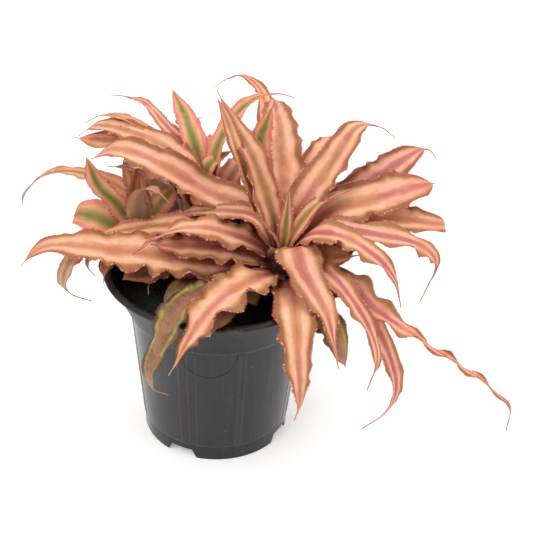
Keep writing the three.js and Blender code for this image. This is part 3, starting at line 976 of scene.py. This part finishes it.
def makePot():
    skins = {name: potMaterial(name) for name in ("potPlastic", "potRibsScuffAndHighlight", "potPanel")}
    outline = roundedOutline(potShape["wall"], potShape["arcSteps"])
    outline += [(0, potShape["floorTop"]), (0, potShape["floorBottom"])]
    outline.append((potShape["wall"][0][0], potShape["floorBottom"]))
    pot = turnedMesh("nursery_pot", outline, potShape["sides"], closed=True)
    copies = ringTree()

    def ringOf(thing, count, turn, skin, name):
        values = {"Count": count, "Turn": math.radians(turn), "Axis": tuple(potFoot)}
        return runTree(copies, thing, {**values, "Material": skins[skin]}, name)

    for cutter, count, turn in (
        (notchCutter(), potShape["notches"], potShape["notchTurn"]),
        (drainCutter(), potShape["drains"], 0.0),
    ):
        ring = ringOf(cutter, count, turn, "potPlastic", cutter.name)
        cut = pot.modifiers.new("cut", "BOOLEAN")
        cut.operation = "DIFFERENCE"
        cut.solver = "EXACT"
        cut.object = ring
        mesh = evaluatedMesh(pot)
        pot.modifiers.remove(cut)
        pot.data = mesh
        bpy.data.objects.remove(ring)
    smoothAndPaint(pot, skins["potPlastic"], potShape["sharpPot"])
    pot.data.name = "nursery_pot"

    section = potShape["ribSection"]
    heights = np.linspace(*potShape["ribEnds"], potShape["ribSteps"])
    lines = [ridgeAlong("rib", [onBody(angle, z) for z in heights], half, section)
             for angle, half in potShape["ribs"]]
    ribs = ringOf(joinPieces("ribs", lines), potShape["ribSets"], 0.0, "potRibsScuffAndHighlight", "pot_ribs")
    arc = []
    for t in np.linspace(math.pi, fullTurn, potShape["panelSteps"]):
        height = potShape["panelTop"] + potShape["panelRadius"] * math.sin(t)
        angle = math.degrees(potShape["panelRadius"] * math.cos(t) / potRadius(height))
        arc.append(onBody(angle + potShape["panelAngle"], height))
    panel = ridgeAlong("panel", arc, potShape["panelLine"], section)
    panel = ringOf(panel, potShape["panels"], 0.0, "potPanel", "pot_panel_lines")
    finishPiece(pot, "pot", "pot")
    for thing, skin in ((ribs, "potRibsScuffAndHighlight"), (panel, "potPanel")):
        smoothAndPaint(thing, skins[skin], potShape["sharpRidge"])
        finishPiece(thing, "pot")
    print("pot made,", len(pot.data.polygons), "faces")


# Potting soil: a closed body with an uneven top, and loose crumbs strewn over it
soilShape = {
    "outline": [(0, 7.2), (37.4, 7.2), (37.4, 9.2), (45.1, 74.0)],
    "radius": 50.4,
    "height": 85.6,
    "dome": 2.0,
    "rings": 46,
    "sides": 150,
    # the surface above this height is uneven: by how much, and how closely
    "evenBelow": 80.0,
    "unevenness": 2.2,
    "swellScale": 60,
    "swell": (0.9, 2.0, 4),
    # crumbs for each square millimetre that faces up at least this much
    "crumbs": 0.55,
    "facingUp": 0.3,
    # their sizes, of which the larger are fewer, and how each is stretched and turned
    "crumbSize": (0.45, 1.6),
    "fewerLarge": 2.5,
    "crumbStretch": ((0.5, 0.6, 0.45), (1.3, 1.1, 0.9)),
    "crumbTurn": ((0, 0, 0), (6.28, 6.28, 6.28)),
    "seed": 5,
    "tints": {"paleBits": (104, 80, 60)},
    "grains": (420.0, 4.0),
    "dark": [(0.3, (8, 5, 5)), (0.55, (20, 14, 12)), (0.75, (42, 29, 23))],
    "paleShare": 0.35,
    "roughness": 0.92,
    "bump": (0.8, 0.0006),
}


def soilMaterial():
    material, tree, shader = newMaterial("soilCrumbs")
    spot = objectPlace(tree)
    pale = useGroup(speckle, spot, Scale=650.0, Low=0.66, High=0.74)
    tint = ramp(noise(spot, *soilShape["grains"]), soilShape["dark"])
    tint = mixColour(pale * soilShape["paleShare"], tint, coloursOf(soilShape)["paleBits"])
    feed(tint, shader["Base Color"])
    feed(soilShape["roughness"], shader["Roughness"])
    feed(bump(useGroup(grain, spot, Scale=1400.0, Coarse=0.9), *soilShape["bump"]), shader["Normal"])
    return material


def crumbTree():
    tree, given, result = newGroup("crumbs", "Geometry", {
        "Geometry": "Geometry", "Density": "Float", "Least": "Float", "Most": "Float", "Seed": "Int",
        "Material": "Material",
    })
    seed = given["Seed"]
    upward = partOf(addNode("GeometryNodeInputNormal", tree=tree), "Z")
    inputs = {"Mesh": given["Geometry"], "Selection": calc("GREATER_THAN", upward, soilShape["facingUp"]),
              "Density": given["Density"], "Seed": seed}
    scatter = addNode("GeometryNodeDistributePointsOnFaces", inputs)
    stretch = randomValue(*soilShape["crumbStretch"], seed + 1, "FLOAT_VECTOR")
    share = calc("POWER", randomValue(0.0, 1.0, seed + 2), soilShape["fewerLarge"])
    size = share * (given["Most"] - given["Least"])
    strewn = addNode("GeometryNodeInstanceOnPoints", {
        "Points": scatter,
        "Instance": addNode("GeometryNodeMeshIcoSphere", {"Radius": 1.0, "Subdivisions": 1}, tree=tree),
        "Rotation": randomValue(*soilShape["crumbTurn"], seed, "FLOAT_VECTOR"),
        "Scale": vectorCalc("SCALE", stretch, given["Least"] + size),
    })
    finishTree(result, given["Material"], strewn, given["Geometry"])
    return tree


def makeSoil():
    outline = list(soilShape["outline"])
    for share in np.linspace(1, 0, soilShape["rings"]):
        rise = soilShape["dome"] * (1 - share**2)
        outline.append((soilShape["radius"] * share, soilShape["height"] + rise))
    body = turnedMesh("soil_body", outline, soilShape["sides"])
    for vertex in body.data.vertices:
        if vertex.co.z > potFoot.z + soilShape["evenBelow"] * mm:
            swell = fractal(vertex.co * soilShape["swellScale"], *soilShape["swell"])
            vertex.co.z += swell * soilShape["unevenness"] * mm
    least, most = soilShape["crumbSize"]
    values = {
        "Density": soilShape["crumbs"] * 1e6,
        "Least": least * mm,
        "Most": most * mm,
        "Seed": soilShape["seed"],
        "Material": soilMaterial(),
    }
    soil = runTree(crumbTree(), body, values, "potting_soil")
    finishPiece(soil, "soil", "soil")
    print("soil made,", len(soil.data.polygons), "faces")


makePot()
makeSoil()


# Leaves. A row holds the blade's width, how full its outline is, the share that is a thin tail, the number
# and height of its waves, its roll, its colouring (pink, green, old and dark beside the margin, each from
# 0 to 1) and its midrib's points.
mainLeaves = {
    "main_upright_leaves": [
        (18, 4, 0.04, 2, 1, 0, (0.3, 0.45, 0, 0.7),
         [(32, 2, 104), (26, 8, 127), (16, 17, 152), (5, 26, 168), (-4, 34, 182)]),
        (12, 9, 0.01, 2, 1, 0, (0.2, 0.3, 0, 0.9),
         [(31, 3, 104), (22, 8, 125), (11, 11, 149), (4, 16, 168), (-3, 20, 184)]),
        (24, 3.4, 0.05, 3, 1.2, 0, (0.25, 0.05, 0, 0.8),
         [(33, 3, 104), (32, 20, 136), (29, 40, 157), (26, 62, 162), (25, 84, 157)]),
        (13, 7, 0.05, 2, 0.6, 0, (0, 1, 0, 0.1),
         [(30, 5, 102), (21, 18, 133), (19, 27, 156), (22, 29, 168), (26, 34, 178)]),
        (14, 3, 0.07, 3, 1.6, 0, (0.1, 0, 0, 0.4),
         [(30, 6, 102), (25, 38, 130), (22, 68, 149), (18, 88, 158), (8, 96, 164), (-1, 96, 162),
          (-8, 92, 158)]),
        (13, 2.4, 0.05, 2, 0.5, 5, (0.2, 0.6, 0, 0.9),
         [(34, 0, 106), (40, 0, 123), (52, 6, 136), (69, 14, 140)]),
        (9, 2.4, 0.05, 1, 0.2, 0, (0.1, 0.9, 0, 0.8), [(33, 0, 106), (34, 3, 122), (35, 8, 142)]),
        (8, 2.4, 0.05, 1, 0.2, 0, (0.1, 0.7, 0, 0.8), [(33, -1, 106), (29, -2, 117), (24, -2, 124)]),
    ],
    "main_right_leaves": [
        (22, 5, 0.22, 3, 0.8, 0, (0, 0.2, 0, 0.8),
         [(35, 2, 104), (42, 9, 130), (56, 22, 148), (68, 37, 162), (82, 49, 158), (92, 61, 146)]),
        (21, 4, 0.05, 3, 1, 0, (0.5, 0.1, 0, 0.9),
         [(34, 5, 100), (39, 16, 125), (48, 32, 141), (56, 49, 148), (64, 68, 144)]),
        (20, 8, 0.1, 4, 1.2, 22, (0.8, 0.1, 0, 1),
         [(36, 4, 100), (54, 17, 120), (76, 30, 133), (96, 43, 143), (108, 52, 145), (115, 54, 138)]),
        (26, 12, 0.02, 4, 1.2, 14, (0.4, 0, 0, 0.8),
         [(36, 2, 102), (54, 7, 126), (78, 16, 132), (102, 25, 136), (112, 30, 136)]),
        (20, 14, 0.02, 3, 1.2, 12, (0.1, 0, 0, 0.8),
         [(37, 1, 98), (61, 5, 122), (90, 9, 124), (110, 10, 123), (116, 12, 121), (117, 13, 116)]),
        (20, 2.8, 0.08, 4, 1.6, 12, (0.7, 0.1, 0, 0.3),
         [(37, -1, 101), (58, -5, 124), (88, -10, 125), (104, -10, 120), (111, -9, 108), (105, -11, 88)]),
        (17, 2.6, 0.08, 3, 1.6, 12, (0.8, 0.05, 0, 0.3),
         [(35, -1, 106), (47, -8, 124), (65, -18, 128), (80, -25, 121), (89, -30, 112), (93, -31, 97)]),
        (20, 7, 0.1, 2, 1.6, 15, (0.4, 0.2, 0.4, 0.8),
         [(37, -1, 96), (48, -8, 110), (60, -13, 114), (72, -13, 116)]),
    ],
    "main_front_leaves": [
        (26, 1.9, 0.1, 3, 1.2, 0, (0.5, 0.1, 0, 0.4),
         [(35, -2, 104), (39, -14, 119), (43, -30, 115), (54, -47, 105), (59, -56, 92), (62, -61, 80)]),
        (24, 2.2, 0.05, 4, 1.6, 0, (0, 0, 0, 0.6),
         [(34, -4, 95), (38, -26, 103), (40, -50, 102), (42, -62, 87), (44, -66, 63), (42, -66, 51)]),
        (25, 3.2, 0.1, 5, 2.2, 0, (0.05, 0, 0, 0.5),
         [(32, -4, 97), (22, -23, 107), (6, -46, 110), (-6, -62, 104), (-14, -68, 90), (-20, -68, 77)]),
        (16, 9, 0.02, 3, 1.6, 0, (0.1, 0.2, 0.8, 0.5),
         [(31, -4, 93), (21, -22, 100), (9, -42, 103), (3, -56, 102), (0, -62, 98)]),
        (16, 4, 0.04, 4, 1.8, 0, (0, 0, 1, 0.3),
         [(28, -4, 92), (6, -22, 98), (-13, -42, 104), (-22, -63, 98), (-29, -64, 78), (-29, -60, 63),
          (-21, -59, 58)]),
        # this leaf hangs in the pot's mouth: it is withered, and its fully withered look with a dark
        # margin strip is also painted shade there
        (16, 4, 0.05, 2, 1, 0, (0, 0, 1, 0.4),
         [(28, -4, 90), (2, -13, 95), (-18, -19, 97), (-25, -25, 93), (-24, -31, 89)]),
        (20, 14, 0.01, 3, 1.2, 0, (0.5, 0.1, 0.5, 0.7),
         [(27, -1, 94), (0, -6, 100), (-24, -9, 100), (-39, -16, 100), (-47, -23, 102)]),
        (18, 1.4, 0.04, 5, 1.6, 3, (0.6, 0.05, 0, 0.4),
         [(37, -4, 98), (53, -22, 112), (68, -38, 105), (79, -50, 90), (81, -52, 76), (78, -51, 60)]),
        (22, 3.6, 0.45, 8, 2.4, 3, (0.9, 0, 0, 0.3),
         [(38, -4, 98), (63, -21, 104), (80, -32, 96), (106, -46, 86), (131, -62, 78), (145, -70, 68),
          (146, -70, 53)]),
        (15, 2.7, 0.03, 3, 1, 0, (0.6, 0, 0, 0.3),
         [(37, -5, 93), (60, -20, 103), (80, -33, 88), (92, -44, 64), (90, -48, 46), (78, -46, 31)]),
        (18, 5, 0.01, 3, 1.4, 0, (0, 0.1, 0.9, 0.4),
         [(36, -6, 91), (48, -30, 97), (56, -45, 95), (62, -53, 87), (66, -54, 76)]),
        (14, 2.6, 0.1, 3, 1.4, 0, (0.5, 0, 0.6, 0.5),
         [(38, -3, 93), (55, -20, 104), (68, -32, 101), (76, -36, 94)]),
        (8, 4, 0.3, 3, 1, 0, (0.3, 0.1, 0.4, 0.5),
         [(28, -3, 95), (-6, -6, 100), (-28, -13, 100), (-34, -19, 98), (-34, -24, 94)]),
    ],
    "main_crown_leaves": [
        (7, 14, 0.02, 1, 0.4, 0, (0, 0, 0, 0),
         [(34, -3, 106), (34, -8, 110), (34, -11, 114), (34, -13, 119)]),
        (8, 8, 0.02, 1, 0.4, 25, (0, 0.2, 0.9, 1),
         [(31, -1, 102), (29, -5, 108), (28, -8, 112), (27, -9, 116)]),
        (10, 6, 0.02, 2, 0.8, 0, (0, 0, 0.6, 0.8), [(30, -4, 91), (25, -11, 97), (19, -18, 100)]),
        (11, 6, 0.02, 2, 0.8, 0, (0.4, 0, 0.4, 0.8), [(28, -1, 93), (20, -6, 99), (10, -10, 102)]),
    ],
    "main_left_leaves": [
        (24, 3.8, 0.02, 6, 1.6, -25, (0, 0, 0, 0.6),
         [(28, -2, 98), (6, -6, 103), (-22, -10, 108), (-52, -15, 114), (-77, -20, 119),
          (-90, -22, 116), (-98, -22, 107)]),
        (16, 4, 0.24, 5, 1.8, -20, (0.5, 0.1, 0, 0.4),
         [(29, -1, 104), (19, -2, 113), (5, -4, 120), (-10, -6, 124), (-25, -10, 123), (-39, -14, 115),
          (-45, -15, 110)]),
        (15, 6, 0.03, 4, 1.4, -15, (0, 0.35, 0, 0.5),
         [(29, 1, 101), (4, -1, 116), (-22, 2, 120), (-45, 1, 117), (-67, 1, 112)]),
        (20, 6, 0.03, 6, 2.2, -15, (0.7, 0.1, 0, 0.6),
         [(28, -1, 101), (10, -5, 110), (-8, -7, 113), (-23, -9, 114), (-34, -11, 116)]),
        (13, 3, 0.04, 3, 1, -15, (0.6, 0.4, 0, 0.6),
         [(30, 0, 107), (20, 1, 126), (6, 5, 128), (-13, 10, 124), (-29, 15, 117)]),
        (22, 8, 0.02, 4, 1.2, -12, (0.1, 0, 0, 0.9),
         [(29, 4, 98), (16, 13, 123), (-8, 20, 131), (-35, 22, 146), (-56, 32, 147), (-71, 41, 136)]),
    ],
    "main_rear_leaves": [
        (22, 3, 0.05, 3, 1.6, 0, (0.4, 0.1, 0.1, 0.6),
         [(37, 3, 97), (60, 18, 110), (90, 40, 110), (112, 56, 96)]),
        (22, 3, 0.05, 3, 1.6, 0, (0.6, 0.1, 0, 0.5),
         [(36, 5, 93), (54, 34, 112), (74, 66, 112), (86, 86, 94)]),
        (22, 3, 0.05, 3, 1.6, 0, (0.2, 0.2, 0.1, 0.7),
         [(33, 5, 97), (34, 38, 120), (36, 76, 120), (38, 100, 100)]),
        (20, 3, 0.05, 2, 1.6, 0, (0.4, 0.1, 0.1, 0.8),
         [(37, 1, 92), (59, 8, 104), (80, 21, 105), (96, 34, 101)]),
    ],
}
leftLeaves = {
    "left_leaves": [
        (12, 6, 0.01, 2, 0.8, -5, (0.1, 1, 0, 0),
         [(-40, 16, 100), (-54, 22, 118), (-66, 31, 125), (-74, 44, 136)]),
        (19, 14, 0.02, 2, 0.8, -25, (0, 1, 0, 0),
         [(-40, 14, 100), (-54, 14, 110), (-66, 16, 115), (-74, 17, 116), (-78, 20, 113)]),
        (12, 6, 0.03, 3, 1, 0, (0.4, 0.7, 0, 0),
         [(-39, 16, 99), (-46, 34, 113), (-60, 45, 119), (-82, 52, 122), (-99, 54, 118),
          (-110, 53, 108), (-113, 54, 98)]),
        (11, 6, 0.03, 1, 0.3, 0, (0.1, 1, 0, 0), [(-40, 15, 100), (-46, 17, 124), (-44, 18, 146)]),
        (16, 9, 0.02, 2, 0.6, 0, (0.2, 0.9, 0, 0),
         [(-41, 14, 102), (-39, 18, 112), (-33, 26, 118), (-26, 36, 124)]),
        # the hooded leaf: its darker olive look is painted shade under the hood
        (15, 3.4, 0.1, 2, 0.8, 0, (0.5, 0.6, 0.4, 0.1),
         [(-38, 14, 102), (-43, 11, 121), (-41, 8, 134), (-34, 4, 140), (-25, 0, 134)]),
        (16, 5, 0.05, 2, 0.8, 0, (1, 0.3, 0, 0.3),
         [(-21, 33, 104), (-26, 32, 124), (-37, 27, 135), (-48, 23, 141), (-59, 20, 143)]),
        (12, 8, 0.02, 2, 0.6, 0, (0.5, 0.5, 0, 0),
         [(-39, 18, 102), (-43, 23, 120), (-48, 31, 132), (-53, 38, 140)]),
        (20, 12, 0.01, 2, 0.6, 75, (0.1, 0.5, 0.5, 0.5),
         [(-22, 36, 102), (-30, 38, 112), (-36, 40, 121), (-40, 41, 131)]),
        (12, 5, 0.1, 3, 0.8, 0, (0.4, 0.6, 0.1, 0),
         [(-39, 17, 97), (-47, 40, 113), (-58, 64, 111), (-65, 80, 98)]),
        (12, 5, 0.1, 3, 0.8, 0, (0.3, 0.6, 0.1, 0),
         [(-40, 16, 96), (-58, 24, 104), (-74, 36, 104), (-81, 46, 96)]),
        (11, 7, 0.08, 3, 0.8, 0, (0, 0.7, 0.4, 0),
         [(-40, 14, 98), (-58, -4, 110), (-72, -16, 110), (-78, -16, 96), (-76, -11, 84), (-66, -8, 78)]),
        (5, 4, 0.03, 2, 0.5, 0, (0, 0.8, 0.5, 0),
         [(-40, 13, 95), (-55, -4, 104), (-64, -12, 108), (-66, -15, 104), (-62, -15, 98)]),
        (11, 6, 0.1, 2, 0.5, 0, (0, 0.5, 0.6, 0),
         [(-37, 11, 95), (-48, -6, 104), (-56, -16, 106), (-56, -28, 102)]),
    ],
}
backLeaves = {
    "back_leaves": [
        (17, 7, 0.02, 3, 1, -10, (0, 0.1, 0, 0.8),
         [(-12, 37, 104), (-15, 38, 130), (-28, 46, 140), (-50, 60, 143), (-72, 74, 140), (-84, 80, 130)]),
        (9, 5, 0.05, 3, 0.8, 0, (0.4, 0.6, 0, 0),
         [(-12, 38, 102), (-22, 52, 132), (-37, 62, 141), (-56, 73, 145), (-69, 80, 144), (-80, 84, 137)]),
        (9, 4, 0.1, 3, 1, 0, (1, 0, 0, 0),
         [(-12, 39, 104), (-18, 50, 136), (-31, 64, 144), (-44, 80, 150), (-56, 96, 148),
          (-69, 107, 144)]),
        (14, 4.5, 0.01, 2, 0.5, 0, (0, 1, 0, 0.2),
         [(-10, 38, 104), (-15, 49, 137), (-22, 67, 149), (-32, 92, 156)]),
        (8, 4, 0.1, 2, 0.5, 0, (0.8, 0.2, 0, 0),
         [(-9, 38, 104), (-12, 50, 134), (-19, 68, 146), (-14, 83, 144)]),
        (19, 3.4, 0.13, 3, 1, 0, (0, 0.9, 0, 0),
         [(-8, 38, 104), (-5, 45, 137), (2, 56, 153), (14, 63, 164), (26, 62, 169), (36, 60, 168)]),
        (13, 5, 0.1, 2, 0.5, 0, (0, 1, 0, 0), [(-9, 36, 106), (-9, 41, 131), (-3, 45, 138), (8, 50, 142)]),
        (18, 9, 0.03, 3, 1, -20, (0.7, 0.3, 0, 0),
         [(-12, 36, 104), (-22, 40, 130), (-47, 55, 140), (-67, 64, 136), (-85, 72, 133)]),
        (16, 2.8, 0.05, 3, 1.2, 0, (0.3, 0.5, 0, 0.3),
         [(-10, 38, 100), (-12, 58, 128), (-14, 84, 130), (-16, 104, 116)]),
        (16, 5, 0.05, 3, 1.2, 0, (0.5, 0.5, 0.2, 0.6),
         [(-11, 36, 100), (-24, 52, 108), (-36, 62, 110), (-44, 62, 102)]),
        (16, 2.8, 0.05, 3, 1.2, 0, (0.4, 0.4, 0, 0.3),
         [(-9, 38, 100), (6, 58, 124), (22, 84, 124), (32, 102, 110)]),
    ],
}


# Stems: the short trunk in the soil that swells into the crown
stems = {
    # place, radius in the soil, radius of the crown, top
    "main_stem": ((33, 0), 6.5, 7, 106),
    "left_stem": ((-38, 15), 4.5, 5.5, 106),
    "back_stem": ((-10, 37), 5.5, 6.5, 114),
}
stemShape = {
    "foot": 80.0,
    "soilTop": 89.0,
    "crownRise": 1.1,
    "steps": 8,
    "sides": 48,
    # old leaf bases stand out from the trunk: how closely across and up, and how far as a share
    "ridgeScale": (400, 400, 60),
    "ridgeShare": 0.06,
    "ridges": (0.9, 2.0, 3),
    # upright fibres, and the step on them from dark to pale
    "fibreSqueeze": (1.0, 1.0, 0.15),
    "fibres": (500.0, 4.0, 0.65),
    "fibreSteps": (0.42, 0.72, 0.0, 0.7),
    # maroon of the old leaf bases, the dark one deepened towards black as painted shade in the crown
    "tints": {"dark": (44, 16, 16), "pale": (92, 44, 36)},
    "roughness": 0.9,
    "bump": (0.8, 0.0008),
}


def stemMaterial():
    material, tree, shader = newMaterial("stemBase")
    tints = coloursOf(stemShape)
    squeezed = vectorCalc("MULTIPLY", objectPlace(tree), stemShape["fibreSqueeze"])
    fibres = noise(squeezed, *stemShape["fibres"])
    share = step(fibres, *stemShape["fibreSteps"])
    feed(mixColour(share, tints["dark"], tints["pale"]), shader["Base Color"])
    feed(stemShape["roughness"], shader["Roughness"])
    feed(bump(fibres, *stemShape["bump"]), shader["Normal"])
    return material


stemSkin = stemMaterial()


def makeStem(name, slot, node):
    (x, y), radius, crown, top = stems[name]
    rise = stemShape["crownRise"] * crown
    corners = [(0, stemShape["foot"]), (radius, stemShape["foot"]), (radius, stemShape["soilTop"]),
               (crown, top - rise), (crown, top - 0.4 * rise), (0.6 * crown, top), (0, top + 0.1 * rise)]
    outline = [corners[0], *catmullRom(corners[1:], stemShape["steps"])]
    outline[-1] = corners[-1]
    stem = turnedMesh(name, outline, stemShape["sides"])
    for vertex in stem.data.vertices:
        away = Vector((vertex.co.x - potFoot.x, vertex.co.y - potFoot.y, 0))
        ridge = fractal(vertex.co * Vector(stemShape["ridgeScale"]), *stemShape["ridges"])
        vertex.co += away * stemShape["ridgeShare"] * ridge
        vertex.co += Vector((x * mm, y * mm, 0))
    smoothAndPaint(stem, stemSkin)
    finishPiece(stem, slot, node)


def makeRosette(groups, slot, node, firstSeed):
    seed = firstSeed
    for name, rows in groups.items():
        leaves = []
        for row in rows:
            seed += 1
            leaves.append(makeLeaf(f"{name}{seed}", seed, *row))
        piece = joinPieces(name, leaves)
        finishPiece(piece, slot, node)
        print(name, len(rows), "leaves", len(piece.data.polygons), "faces")


makeRosette(mainLeaves, "leaf_main", "rosette_main", 0)
makeRosette(leftLeaves, "leaf_left", "rosette_left", 100)
makeRosette(backLeaves, "leaf_back", "rosette_back", 200)
makeStem("main_stem", "leaf_main", "rosette_main")
makeStem("left_stem", "leaf_left", "rosette_left")
makeStem("back_stem", "leaf_back", "rosette_back")
